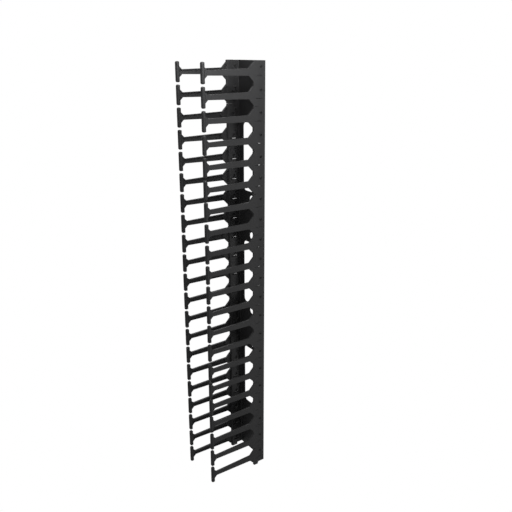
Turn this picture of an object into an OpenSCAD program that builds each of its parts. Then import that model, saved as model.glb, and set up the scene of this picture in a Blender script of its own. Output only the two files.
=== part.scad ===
// Vertical cable manager: a folded steel channel with a row of moulded finger
// sections riveted along each side. Cables lie in the channel between the two
// rows and leave it between the fingers or through the back.
// Millimetres. +X is the right-hand row, -Y is the front and +Z is up. The
// origin is on the rear face, half way between the middle pair of end holes.

/* [Rows of fingers] */
// One rack unit, the distance from finger to finger
unit = 44.45; // [44:0.05:45]
// Two-finger sections in a row, which a one-finger section ends
pairs = 10; // [9:1:14]
// Open joint between two sections
joint_gap = 0.5; // [0.2:0.1:1]
// How far the rows sit below the middle of the openings
row_drop = 2.4; // [0:0.2:4]
// How far the last section of a row runs on below its finger
end_foot = 1.9; // [0:0.1:3]

/* [Channel] */
// Width over the side flanges
channel_w = 96.2; // [90:0.2:140]
// Depth of the side flanges
flange_d = 20; // [18.5:0.5:21.5]
// How much shorter the channel is than a row of fingers
channel_trim = 2.6; // [0:0.2:6]
// How far the channel sits below the middle of the openings
channel_drop = 1.7; // [0:0.1:2.4]
// Thickness of the sheet
sheet = 1.5; // [1.2:0.1:2]
// Outside radius of the two folds
fold_r = 3; // [2:0.5:4]

/* [Openings in the back] */
// Width of a cable opening
opening_w = 62; // [40:1:66]
// Height of a cable opening
opening_h = 147.6; // [100:0.2:160]
// Corner radius of a cable opening
opening_r = 9; // [4:1:14]
// Distance from opening to opening
opening_pitch = 263.5; // [230:0.5:270]
// Diameter of the round hole at each end of an opening
end_hole_d = 16.8; // [12:0.2:20]
// From the end of an opening to the middle of its round hole
end_hole_gap = 16.2; // [12:0.2:17]

/* [Finger] */
// From the rear face to the front of the bars
reach = 150.4; // [120:0.2:180]
// Thickness of an arm and its flared root
section_t = 4.2; // [3.6:0.1:5]
// How far the fingers stand out past the flange
proud = 2.2; // [0:0.1:2.5]
// How far the seats stand in past the fingers
seat_in = 1.6; // [0.8:0.1:2.4]
// Height of the bar across the end of a finger
bar_h = 40.3; // [34:0.1:42]
// Thickness of the bar, front to back
bar_t = 7.6; // [6.6:0.1:8]
// Width of the bar, side to side
bar_w = 8; // [7:0.1:9]
// Rounding along the long edges of the bar
bar_edge_r = 2.5; // [0.5:0.1:3]
// Rounding round the ends of the bar
bar_end_r = 3.2; // [1:0.1:3.2]
// Height of a finger where it meets its gussets
tip_h = 9.6; // [7:0.1:11]
// Height of a finger at its root
root_h = 13.6; // [11:0.1:15]
// Width of the rim round the hollow side of a finger
rim = 1.9; // [1.5:0.1:2.4]
// Depth of the hollows in the inner side
hollow = 2.4; // [1.5:0.1:2.8]

/* [Fixings] */
// Height of a rivet above the middle of its finger
rivet_z = 10.4; // [9:0.2:11.4]
// From the rear face to a rivet
rivet_y = 12; // [11.4:0.2:13]
// Diameter of a rivet's shank
rivet_d = 4; // [3:0.1:4.2]
// Diameter of a rivet's head
rivet_head_d = 6.2; // [5:0.1:7]

/* [Hidden] */
sections = pairs + 1;
fingers = 2 * pairs + 1;
row_h = fingers * unit;
channel_h = row_h - channel_trim;
openings = 3;

outer_x = channel_w / 2 + proud;
inner_x = outer_x - section_t;
seat_x = inner_x - seat_in;
flange_in_x = channel_w / 2 - sheet;

// Outline of a finger, as distances forward of the rear face
bar_y = reach - bar_t / 2;
bar_back_y = reach - bar_t;
gusset_y = bar_back_y - 5.9;
gusset_h = 10.6;
flare_y = 43.1;
strip_y = 31.8;
flare_h = 18.25;
step_y = flange_d + 0.2;
inner_strip_y = 16.6;
strip_corner_r = 1.5;

// Hollow of the arm, which ends in a notch round the tip of a web
groove_y = 40;
groove_h = 7.3;
web_tip_y = 49.9;
// Pocket in the flare, behind that web
pocket_y = 30.2;
pocket_bend_y = 34.4;
pocket_front_y = 38.3;
pocket_h = 12.6;
pocket_front_h = 8.8;

// Hooked seat behind each finger, heights above the middle of the finger
seat_y = 8.6;
seat_low = 5.5;
seat_top = 14.2;
boss_y = 18.1;
boss_z = 1.1;
boss_r = 7.1;
boss_hole_r = 3.7;
tab_y = 11.3;
tab_top = -8.2;
tab_h = 5.8;
slot_y = 27;
slot_h = 3.4;
slit_h = 0.8;
slit_z = -6.6;
slit_y = 9.6;
score_y = 27.3;
score_d = 0.6;

rivet_fit = 0.1;
rivet_head_t = 1.1;
rivet_tail_t = 1.4;
rivet_tail_d = 5.4;
rivet_bore_d = 2.2;
rivet_bore_l = 3;

eps = 0.01;
$fn = 48;

function two_digits(i) = str(i < 10 ? "0" : "", i);
function section_name(side, i) = str(side, "_comb_", two_digits(i));
function fingers_in(i) = i < sections ? 2 : 1;
// Height of the middle of section i, counted from the top
function section_z(i) = row_h / 2 - row_drop - unit * (2 * (i - 1) + fingers_in(i) / 2);
// Height of the middle of finger f, counted from the top
function finger_z(f) = row_h / 2 - row_drop - unit * (f - 0.5);

// Extrudes an outline drawn in distance forward and height from x0 to x1
module slab(x0, x1) {
    translate([x0, 0, 0])
        rotate([90, 0, 90])
            linear_extrude(x1 - x0)
                mirror([1, 0])
                    children();
}

// Rounded rectangle, centred
module round_rect(w, h, r) {
    square([w - 2 * r, h], center = true);
    square([w, h - 2 * r], center = true);
    for (x = [-1, 1], y = [-1, 1])
        translate([x * (w / 2 - r), y * (h / 2 - r)]) circle(r);
}

// Everything on one finger repeats at the height of each finger of a section
function finger_height(k, n) = (k - (n - 1) / 2) * unit;

// The outlines of all fingers of a section
module at_fingers(n) {
    for (k = [0:n - 1]) translate([0, finger_height(k, n)]) children();
}

/* ---- steel channel ---- */

module channel_profile() {
    difference() {
        translate([0, -flange_d]) round_rect(channel_w, 2 * flange_d, fold_r);
        translate([0, -flange_d - sheet])
            round_rect(channel_w - 2 * sheet, 2 * flange_d, fold_r - sheet);
        translate([-channel_w, -3 * flange_d]) square([2 * channel_w, 2 * flange_d]);
    }
}

module back_cut_outs() {
    for (k = [0:openings - 1]) translate([0, (k - (openings - 1) / 2) * opening_pitch]) {
        round_rect(opening_w, opening_h, opening_r);
        for (s = [-1, 1])
            translate([0, s * (opening_h / 2 + end_hole_gap)]) circle(d = end_hole_d);
    }
}

module back_channel() {
    color([0.10, 0.10, 0.11]) difference() {
        translate([0, 0, -channel_drop - channel_h / 2])
            linear_extrude(channel_h) channel_profile();
        translate([0, 1, 0])
            rotate([90, 0, 0]) linear_extrude(sheet + 2) back_cut_outs();
        for (f = [1:fingers]) translate([0, 0, finger_z(f)]) {
            translate([0, -rivet_y, rivet_z])
                rotate([0, 90, 0])
                    cylinder(h = channel_w + 2, d = rivet_d + 2 * rivet_fit, center = true);
            for (s = [-1, 1])
                translate([s * channel_w / 2, -(slit_y + flange_d + 1) / 2, slit_z])
                    cube([3 * sheet, flange_d + 1 - slit_y, slit_h], center = true);
        }
    }
}

/* ---- finger sections ---- */

// One finger behind its bar: two gussets, the arm and its flared root
module arm_outline() {
    polygon([
        [bar_y, gusset_h], [bar_back_y, gusset_h], [gusset_y, tip_h / 2],
        [flare_y, root_h / 2], [strip_y, flare_h], [step_y, flare_h],
        [step_y, -flare_h], [strip_y, -flare_h],
        [flare_y, -root_h / 2], [gusset_y, -tip_h / 2],
        [bar_back_y, -gusset_h], [bar_y, -gusset_h]
    ]);
}

// Bar across the end of a finger, rounded along its edges and over both ends
module bar() {
    translate([(inner_x + outer_x) / 2, -bar_y, 0]) intersection() {
        translate([0, 0, -bar_h / 2])
            linear_extrude(bar_h) round_rect(bar_w, bar_t, bar_edge_r);
        rotate([90, 0, 0])
            linear_extrude(bar_t, center = true) round_rect(bar_w, bar_h, bar_end_r);
        rotate([90, 0, 90])
            linear_extrude(bar_w, center = true) round_rect(bar_t, bar_h, bar_end_r);
    }
}

// Height of a section and how far its foot runs on below it
function strip_h(n) = n * unit - joint_gap;
function foot(n) = n == 1 ? end_foot : 0;

// The strip that joins the fingers of a section, in front of the flange
module strip_outline(n) {
    r = strip_corner_r;
    low = -strip_h(n) / 2 - foot(n);
    high = strip_h(n) / 2;
    translate([step_y, low]) square([strip_y - step_y - r, high - low]);
    translate([step_y, low + r]) square([strip_y - step_y, high - low - 2 * r]);
    for (z = [low + r, high - r]) translate([strip_y - r, z]) circle(r);
}

// What stands in past the fingers: the thick rear of the strip, and for each
// finger a seat for its rivet, a bored boss and a tab
module seat_outline(n) {
    low = -strip_h(n) / 2 - foot(n);
    translate([inner_strip_y, low]) square([step_y - inner_strip_y, strip_h(n) / 2 - low]);
    at_fingers(n) {
        translate([seat_y, seat_low]) square([inner_strip_y - seat_y + eps, seat_top - seat_low]);
        translate([boss_y, boss_z]) circle(boss_r);
        translate([tab_y, tab_top - tab_h]) square([inner_strip_y - tab_y + eps, tab_h]);
    }
}

module thick_strip_outline(n) {
    low = -strip_h(n) / 2 - foot(n);
    translate([step_y - eps, low]) square([pocket_y - step_y, strip_h(n) / 2 - low]);
}

// Bores and slots that go through the seats
module seat_cuts() {
    translate([boss_y, boss_z]) circle(boss_hole_r);
    translate([0, tab_top]) square([slot_y, slot_h]);
}

// Hollows on the inner side, which leave a rim round the arm and round the root
module finger_hollows() {
    neck = gusset_y + 0.4 * rim;
    polygon([
        [bar_back_y - rim, gusset_h - 2.4 * rim], [neck, tip_h / 2 - rim],
        [flare_y + rim / 2, root_h / 2 - rim], [groove_y, groove_h],
        [web_tip_y, 0], [groove_y, -groove_h],
        [flare_y + rim / 2, -root_h / 2 + rim],
        [neck, -tip_h / 2 + rim], [bar_back_y - rim, -gusset_h + 2.4 * rim]
    ]);
    polygon([
        [pocket_front_y, pocket_front_h], [pocket_bend_y, pocket_h], [pocket_y, pocket_h],
        [pocket_y, -pocket_h], [pocket_bend_y, -pocket_h], [pocket_front_y, -pocket_front_h]
    ]);
}

module section(n) {
    color([0.07, 0.07, 0.075]) difference() {
        union() {
            for (k = [0:n - 1]) translate([0, 0, finger_height(k, n)]) bar();
            slab(inner_x, outer_x) at_fingers(n) arm_outline();
            slab(inner_x, outer_x) strip_outline(n);
            slab(seat_x, inner_x + eps) thick_strip_outline(n);
            slab(seat_x, flange_in_x) seat_outline(n);
        }
        slab(seat_x - 1, inner_x + hollow) at_fingers(n) finger_hollows();
        slab(seat_x - 1, flange_in_x + eps) at_fingers(n) seat_cuts();
        slab(seat_x - 1, outer_x)
            at_fingers(n) translate([rivet_y, rivet_z]) circle(d = rivet_d + 2 * rivet_fit);
        slab(outer_x - score_d, outer_x + 1)
            at_fingers(n)
                translate([step_y - 1, slit_z - slit_h / 2])
                    square([score_y - step_y + 1, slit_h]);
    }
}

module right_comb(i) {
    translate([0, 0, section_z(i)]) section(fingers_in(i));
}

module left_comb(i) {
    mirror([1, 0, 0]) right_comb(i);
}

/* ---- rivets ---- */

// Tubular rivet: head on the flange, tail closed over the seat behind the finger
module rivet() {
    shank_l = channel_w / 2 - seat_x;
    translate([channel_w / 2, 0, 0]) rotate([0, 90, 0]) difference() {
        union() {
            cylinder(h = rivet_head_t, d1 = rivet_head_d, d2 = rivet_head_d - 1.4);
            translate([0, 0, -shank_l]) cylinder(h = shank_l + eps, d = rivet_d);
            translate([0, 0, -shank_l - rivet_tail_t])
                cylinder(h = rivet_tail_t, d1 = rivet_tail_d - 1.2, d2 = rivet_tail_d);
        }
        translate([0, 0, rivet_head_t - rivet_bore_l])
            cylinder(h = rivet_bore_l + 1, d = rivet_bore_d);
    }
}

module right_rivets() {
    color([0.05, 0.05, 0.055])
        for (f = [1:fingers]) translate([0, -rivet_y, finger_z(f) + rivet_z]) rivet();
}

module left_rivets() {
    mirror([1, 0, 0]) right_rivets();
}

back_channel();
for (i = [1:sections]) {
    right_comb(i);
    left_comb(i);
}
right_rivets();
left_rivets();
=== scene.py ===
"""Finish of the vertical cable manager: two rows of moulded finger sections, a
powder-coated channel and blackened rivets, in a white studio."""

import math

import bmesh
import bpy
from mathutils import Matrix, Vector


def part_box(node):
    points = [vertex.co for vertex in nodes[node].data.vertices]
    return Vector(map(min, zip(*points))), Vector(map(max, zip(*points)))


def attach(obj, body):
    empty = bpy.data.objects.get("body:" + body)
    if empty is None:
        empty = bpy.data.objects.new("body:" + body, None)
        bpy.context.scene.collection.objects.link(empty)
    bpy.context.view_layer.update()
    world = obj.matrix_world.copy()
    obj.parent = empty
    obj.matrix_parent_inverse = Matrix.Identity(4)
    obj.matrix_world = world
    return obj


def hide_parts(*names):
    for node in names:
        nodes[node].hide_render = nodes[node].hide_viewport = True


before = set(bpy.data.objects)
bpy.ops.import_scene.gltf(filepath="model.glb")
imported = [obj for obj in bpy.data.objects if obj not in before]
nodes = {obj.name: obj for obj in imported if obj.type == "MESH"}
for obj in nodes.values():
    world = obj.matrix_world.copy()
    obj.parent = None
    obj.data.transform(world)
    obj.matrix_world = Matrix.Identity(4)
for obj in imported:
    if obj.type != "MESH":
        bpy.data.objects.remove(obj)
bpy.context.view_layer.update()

MM = 0.001
UNIT = 44.45 * MM
SIDES = {"right": 1, "left": -1}
SECTION_NODES = {s: sorted(n for n in nodes if n.startswith(s + "_comb_")) for s in SIDES}
PAIRS = len(SECTION_NODES["right"]) - 1
FINGERS = 2 * PAIRS + 1

# The bar across a finger's end: its width, depth and height, the radius of its edges,
# and how far the arm is let into its back
BAR_SIZE = (8 * MM, 7.6 * MM, 40.3 * MM)
BAR_ROUND = 3.1 * MM
BAR_GRIP = 1.2 * MM

# The place of the first bar, from the box of the first section, which stops half a
# joint short of its two units
JOINT_GAP = 0.5 * MM
SECTION_LOW, SECTION_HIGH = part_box("right_comb_01")
FRONT_Y = SECTION_LOW[1]
BAR_X = SECTION_HIGH[0] - BAR_SIZE[0] / 2
FIRST_Z = SECTION_HIGH[2] - UNIT / 2 + JOINT_GAP / 2

# Points closer than this are one point, faces flatter than this are one face, and
# corners sharper than this stay sharp
SAME_POINT = 0.001 * MM
SAME_FACE = math.radians(1)
SHARP_CORNER = math.radians(30)

# The relief of the grain, and the rays that look for an edge to round
GRAIN_DEPTH = 0.1 * MM
EDGE_SAMPLES = 6

# The world's light: its strength from below and from above, and how far up or down a
# direction points where it stops changing
SKY_LOW, SKY_HIGH, SKY_TURN = 0.10, 0.36, 0.6
FLOOR_REACH, FLOOR_Z = 6.0, -1.2

# The camera, in millimetres of lens and degrees of tilt and turn
LENS, LOOK_DOWN, TURN = 43.397, 18.401, 54.430


# ---------------------------------------------------------------- node helpers

def new_tree(name, kind, inputs, outputs):
    """A node group with named sockets; returns it with its input and output nodes."""
    tree = bpy.data.node_groups.new(name, kind)
    for socket, socket_type, default in inputs:
        item = tree.interface.new_socket(socket, in_out="INPUT", socket_type=socket_type)
        if default is not None:
            item.default_value = default
    for socket, socket_type in outputs:
        tree.interface.new_socket(socket, in_out="OUTPUT", socket_type=socket_type)
    return tree, tree.nodes.new("NodeGroupInput"), tree.nodes.new("NodeGroupOutput")


def add(tree, kind, settings=None, **sockets):
    """A node with its settings made, and each named socket linked or given a value."""
    node = tree.nodes.new(kind)
    for key, value in (settings or {}).items():
        setattr(node, key, value)
    for key, value in sockets.items():
        feed(tree, node, key.replace("_", " "), value)
    return node


def feed(tree, node, socket, value):
    """Links another node's socket to one of this node's, or gives it a plain value."""
    target = node.inputs[socket]
    if isinstance(value, bpy.types.NodeSocket):
        tree.links.new(value, target)
    else:
        target.default_value = value


def calc(tree, operation, a, b, clamp=False):
    """The result of one operation on two numbers, each a socket or a plain value."""
    node = add(tree, "ShaderNodeMath", {"operation": operation, "use_clamp": clamp})
    feed(tree, node, 0, a)
    feed(tree, node, 1, b)
    return node.outputs[0]


# ---------------------------------------------------------------- finishes

def moulding_grain():
    """Fine spark-eroded grain with a broad, faint unevenness of tone and gloss."""
    tree, given, made = new_tree(
        "moulding_grain", "ShaderNodeTree",
        [("Grain Size", "NodeSocketFloat", 0.0006), ("Unevenness", "NodeSocketFloat", 0.2)],
        [("Height", "NodeSocketFloat"), ("Tone", "NodeSocketFloat"), ("Gloss", "NodeSocketFloat")])
    patches_per_metre, areas_per_metre = 38.0, 7.0
    place = add(tree, "ShaderNodeTexCoord").outputs["Object"]
    density = calc(tree, "DIVIDE", 1.0, given.outputs["Grain Size"])
    grain = add(tree, "ShaderNodeTexNoise", Vector=place, Scale=density, Detail=3.0, Roughness=0.6)
    patches = add(tree, "ShaderNodeTexNoise", Vector=place, Scale=patches_per_metre,
                  Detail=3.0, Roughness=0.55)
    broad = add(tree, "ShaderNodeTexNoise", Vector=place, Scale=areas_per_metre, Detail=1.0)
    tone = calc(tree, "MULTIPLY", calc(tree, "SUBTRACT", patches.outputs["Fac"], 0.5),
                given.outputs["Unevenness"])
    gloss = calc(tree, "MULTIPLY", calc(tree, "SUBTRACT", broad.outputs["Fac"], 0.5),
                 given.outputs["Unevenness"])
    tree.links.new(grain.outputs["Fac"], made.inputs["Height"])
    tree.links.new(calc(tree, "ADD", 1.0, tone), made.inputs["Tone"])
    tree.links.new(gloss, made.inputs["Gloss"])
    return tree


def finish_material(name, colour, roughness, grain_size, bump, unevenness, edge):
    """A black finish whose tone, gloss and surface come from the shared grain, with
    every edge slightly rounded."""
    material = bpy.data.materials.new(name)
    material.use_nodes = True
    tree = material.node_tree
    tree.nodes.clear()
    shader = tree.nodes.new("ShaderNodeBsdfPrincipled")
    grain = add(tree, "ShaderNodeGroup", {"node_tree": GRAIN}, Grain_Size=grain_size,
                Unevenness=unevenness)
    tinted = add(tree, "ShaderNodeVectorMath", {"operation": "SCALE"},
                 Scale=grain.outputs["Tone"])
    feed(tree, tinted, 0, colour)
    tree.links.new(tinted.outputs[0], shader.inputs["Base Color"])
    tree.links.new(calc(tree, "ADD", roughness, grain.outputs["Gloss"], clamp=True),
                   shader.inputs["Roughness"])
    rounding = add(tree, "ShaderNodeBevel", {"samples": EDGE_SAMPLES}, Radius=edge)
    relief = add(tree, "ShaderNodeBump", Strength=bump, Distance=GRAIN_DEPTH,
                 Height=grain.outputs["Height"], Normal=rounding.outputs["Normal"])
    tree.links.new(relief.outputs["Normal"], shader.inputs["Normal"])
    output = tree.nodes.new("ShaderNodeOutputMaterial")
    tree.links.new(shader.outputs["BSDF"], output.inputs["Surface"])
    return material


GRAIN = moulding_grain()
FINGER_PLASTIC = finish_material("black_moulded_plastic", colour=(0.028, 0.028, 0.029),
                                 roughness=0.5, grain_size=0.9 * MM, bump=0.25,
                                 unevenness=0.25, edge=0.5 * MM)
POWDER_COAT = finish_material("black_powder_coat", colour=(0.026, 0.026, 0.027),
                              roughness=0.5, grain_size=1.3 * MM, bump=0.3,
                              unevenness=0.2, edge=0.3 * MM)
RIVET_BLACK = finish_material("blackened_rivet", colour=(0.008, 0.008, 0.008),
                              roughness=0.6, grain_size=0.8 * MM, bump=0.15,
                              unevenness=0.3, edge=0.2 * MM)


# ---------------------------------------------------------------- pieces

def new_piece(name, data):
    piece = bpy.data.objects.new(name, data)
    bpy.context.scene.collection.objects.link(piece)
    return piece


def merged_form(node, front_y=None):
    """The faces of a CAD solid, its loose triangles joined into whole flat faces. What
    lies in front of front_y is cut off, and the cuts are closed."""
    form = bmesh.new()
    form.from_mesh(nodes[node].data)
    bmesh.ops.remove_doubles(form, verts=form.verts, dist=SAME_POINT)
    if front_y is not None:
        everything = form.verts[:] + form.edges[:] + form.faces[:]
        cut = bmesh.ops.bisect_plane(form, geom=everything, plane_co=(0, front_y, 0),
                                     plane_no=(0, -1, 0), clear_outer=True)
        rim = [e for e in cut["geom_cut"] if isinstance(e, bmesh.types.BMEdge)]
        bmesh.ops.edgeloop_fill(form, edges=rim)
    bmesh.ops.dissolve_limit(form, angle_limit=SAME_FACE, verts=form.verts,
                             edges=form.edges, delimit=set())
    return form


def plain_mesh(form, name):
    mesh = bpy.data.meshes.new(name)
    form.to_mesh(mesh)
    form.free()
    return mesh


def smooth_piece(name, form):
    """An object of the form, smooth over its curves and sharp at its corners."""
    mesh = plain_mesh(form, name)
    mesh.shade_smooth()
    mesh.set_sharp_from_angle(angle=SHARP_CORNER)
    return new_piece(name, mesh)


def applied(piece, name):
    """The evaluated form of a piece as a plain mesh object, its modifiers done with."""
    graph = bpy.context.evaluated_depsgraph_get()
    mesh = bpy.data.meshes.new_from_object(piece.evaluated_get(graph), depsgraph=graph)
    mesh.name = name
    done = new_piece(name, mesh)
    bpy.data.objects.remove(piece)
    return done


def flat_faces_flat(piece):
    """Lets the broad faces set the normals where they run into a curve."""
    weighted = piece.modifiers.new("broad_faces", "WEIGHTED_NORMAL")
    weighted.mode = "FACE_AREA"
    weighted.weight = 100
    weighted.keep_sharp = True


# ---------------------------------------------------------------- fingers

def section_form(node):
    """A section without its bars, its arms long enough to run into them."""
    return smooth_piece(node + "_form", merged_form(node, FRONT_Y + BAR_SIZE[1] - BAR_GRIP))


def bar_form(side):
    """The bar across the end of the first finger, a block rounded all over."""
    form = bmesh.new()
    place = (SIDES[side] * BAR_X, FRONT_Y + BAR_SIZE[1] / 2, FIRST_Z)
    bmesh.ops.create_cube(form, size=1.0,
                          matrix=Matrix.LocRotScale(place, None, BAR_SIZE))
    bmesh.ops.bevel(form, geom=form.edges[:], offset=BAR_ROUND, offset_type="OFFSET",
                    segments=6, profile=0.5, affect="EDGES")
    mesh = plain_mesh(form, side + "_bar")
    mesh.shade_smooth()
    return new_piece(side + "_bar", mesh)


def row_tree():
    """Repeats a section and a bar down a row, and adds the end section."""
    tree, given, made = new_tree(
        "finger_row", "GeometryNodeTree",
        [("Geometry", "NodeSocketGeometry", None), ("End Section", "NodeSocketObject", None),
         ("Bar", "NodeSocketObject", None), ("Sections", "NodeSocketInt", PAIRS),
         ("Fingers", "NodeSocketInt", FINGERS), ("Unit", "NodeSocketFloat", UNIT),
         ("Finish", "NodeSocketMaterial", None)],
        [("Geometry", "NodeSocketGeometry")])

    def down_the_row(geometry, count, step):
        offset = add(tree, "ShaderNodeCombineXYZ", Z=calc(tree, "MULTIPLY", step, -1.0))
        line = add(tree, "GeometryNodeMeshLine", {"mode": "OFFSET"}, Count=count,
                   Offset=offset.outputs[0])
        return add(tree, "GeometryNodeInstanceOnPoints", Points=line.outputs[0],
                   Instance=geometry).outputs[0]

    def form_of(socket):
        return add(tree, "GeometryNodeObjectInfo", {"transform_space": "ORIGINAL"},
                   Object=given.outputs[socket]).outputs["Geometry"]

    unit = given.outputs["Unit"]
    joined = add(tree, "GeometryNodeJoinGeometry")
    for part in (
            down_the_row(given.outputs["Geometry"], given.outputs["Sections"],
                         calc(tree, "MULTIPLY", unit, 2.0)),
            down_the_row(form_of("Bar"), given.outputs["Fingers"], unit),
            form_of("End Section")):
        tree.links.new(part, joined.inputs[0])
    finish_geometry(tree, joined.outputs[0], given, made)
    return tree


def finish_geometry(tree, geometry, given, made):
    real = add(tree, "GeometryNodeRealizeInstances", Geometry=geometry)
    finished = add(tree, "GeometryNodeSetMaterial", Geometry=real.outputs[0],
                   Material=given.outputs["Finish"])
    tree.links.new(finished.outputs[0], made.inputs[0])


def grow(piece, tree, **values):
    """Adds a geometry tree to a piece and sets its inputs by their identifiers."""
    modifier = piece.modifiers.new(tree.name, "NODES")
    modifier.node_group = tree
    for item in tree.interface.items_tree:
        key = item.name.replace(" ", "_").lower()
        if item.item_type == "SOCKET" and item.in_out == "INPUT" and key in values:
            modifier[item.identifier] = values[key]


def finger_row(side):
    """One side's comb: ten two-finger sections, the end section and all their bars."""
    section = section_form(SECTION_NODES[side][0])
    end = section_form(SECTION_NODES[side][-1])
    bar = bar_form(side)
    grow(section, ROW, end_section=end, bar=bar, sections=PAIRS, fingers=FINGERS, unit=UNIT,
         finish=FINGER_PLASTIC)
    flat_faces_flat(section)
    row = applied(section, side + "_finger_row")
    for used in (end, bar):
        bpy.data.objects.remove(used)
    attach(row, "root")
    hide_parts(*SECTION_NODES[side])


# ---------------------------------------------------------------- channel and rivets

def steel_channel():
    channel = smooth_piece("channel_form", merged_form("back_channel"))
    flat_faces_flat(channel)
    channel = applied(channel, "steel_back_channel")
    channel.data.materials.append(POWDER_COAT)
    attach(channel, "root")
    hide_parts("back_channel")


ROW = row_tree()
for side in SIDES:
    finger_row(side)
steel_channel()
for side in SIDES:
    rivets = nodes[side + "_rivets"]
    rivets.data.materials.clear()
    rivets.data.materials.append(RIVET_BLACK)


# ---------------------------------------------------------------- studio

def white_world():
    """White where the camera sees it, and a grey light that grows towards the top."""
    world = bpy.data.worlds.new("white_studio")
    bpy.context.scene.world = world
    world.use_nodes = True
    tree = world.node_tree
    tree.nodes.clear()
    rays = tree.nodes.new("ShaderNodeLightPath")
    seen = calc(tree, "MAXIMUM", rays.outputs["Is Camera Ray"],
                rays.outputs["Is Transmission Ray"])
    place = add(tree, "ShaderNodeTexCoord").outputs["Generated"]
    height = add(tree, "ShaderNodeSeparateXYZ", Vector=place).outputs["Z"]
    sky = add(tree, "ShaderNodeMapRange", {"interpolation_type": "SMOOTHSTEP"}, Value=height,
              From_Min=-SKY_TURN, From_Max=SKY_TURN, To_Min=SKY_LOW, To_Max=SKY_HIGH)
    strength = add(tree, "ShaderNodeMapRange", Value=seen, To_Min=sky.outputs[0], To_Max=1.0)
    back = add(tree, "ShaderNodeBackground", Color=(1, 1, 1, 1), Strength=strength.outputs[0])
    output = tree.nodes.new("ShaderNodeOutputWorld")
    tree.links.new(back.outputs[0], output.inputs["Surface"])


def floor_finish():
    """Matt grey to the light, and plain white to the camera."""
    pale = bpy.data.materials.new("pale_floor")
    pale.use_nodes = True
    tree = pale.node_tree
    tree.nodes.clear()
    rays = tree.nodes.new("ShaderNodeLightPath")
    matt = add(tree, "ShaderNodeBsdfDiffuse", Color=(0.5, 0.5, 0.5, 1))
    glow = tree.nodes.new("ShaderNodeEmission")
    mix = add(tree, "ShaderNodeMixShader", Fac=rays.outputs["Is Camera Ray"])
    tree.links.new(matt.outputs[0], mix.inputs[1])
    tree.links.new(glow.outputs[0], mix.inputs[2])
    output = tree.nodes.new("ShaderNodeOutputMaterial")
    tree.links.new(mix.outputs[0], output.inputs["Surface"])
    return pale


def wide_floor():
    """A square floor well below the object."""
    mesh = bpy.data.meshes.new("floor")
    r, z = FLOOR_REACH, FLOOR_Z
    mesh.from_pydata([(-r, -r, z), (r, -r, z), (r, r, z), (-r, r, z)], [], [(0, 1, 2, 3)])
    mesh.materials.append(floor_finish())
    floor = new_piece("floor", mesh)


def lamp(name, place, target, width, power):
    """A square lamp that faces its target and isn't seen itself."""
    data = bpy.data.lights.new(name, "AREA")
    data.shape = "SQUARE"
    data.size = width
    data.energy = power
    light = new_piece(name, data)
    light.location = place
    light.rotation_euler = (Vector(target) - Vector(place)).to_track_quat("-Z", "Y").to_euler()
    light.visible_camera = False


def lamps():
    """A softbox overhead, a small lamp by the top of the right row, and a broad fill from
    behind on either side."""
    lamp("overhead_softbox", place=(0.3, -0.3, 1.7), target=(0.0, -0.1, 0.0), width=0.8,
         power=6.0)
    lamp("top_right_lamp", place=(0.32, -0.12, 0.62), target=(0.05, -0.08, 0.40), width=0.15,
         power=1.6)
    lamp("right_fill", place=(1.6, 1.15, -0.6), target=(0.0, -0.05, -0.15), width=1.5,
         power=4.5)
    lamp("left_fill", place=(-2.2, 0.9, 0.6), target=(0.0, -0.05, 0.0), width=1.5,
         power=10.0)


def front_right_camera():
    """Looks slightly down at the object from in front of its right-hand row."""
    data = bpy.data.cameras.new("camera")
    data.sensor_width = 36.0
    data.lens = LENS
    data.clip_start, data.clip_end = 0.01, 50.0
    camera = new_piece("camera", data)
    camera.location = (1.07670, -0.75987, 0.48158)
    camera.rotation_euler = (math.radians(90 - LOOK_DOWN), 0.0, math.radians(TURN))
    bpy.context.scene.camera = camera


bpy.context.scene.view_settings.view_transform = "Standard"
white_world()
wide_floor()
lamps()
front_right_camera()
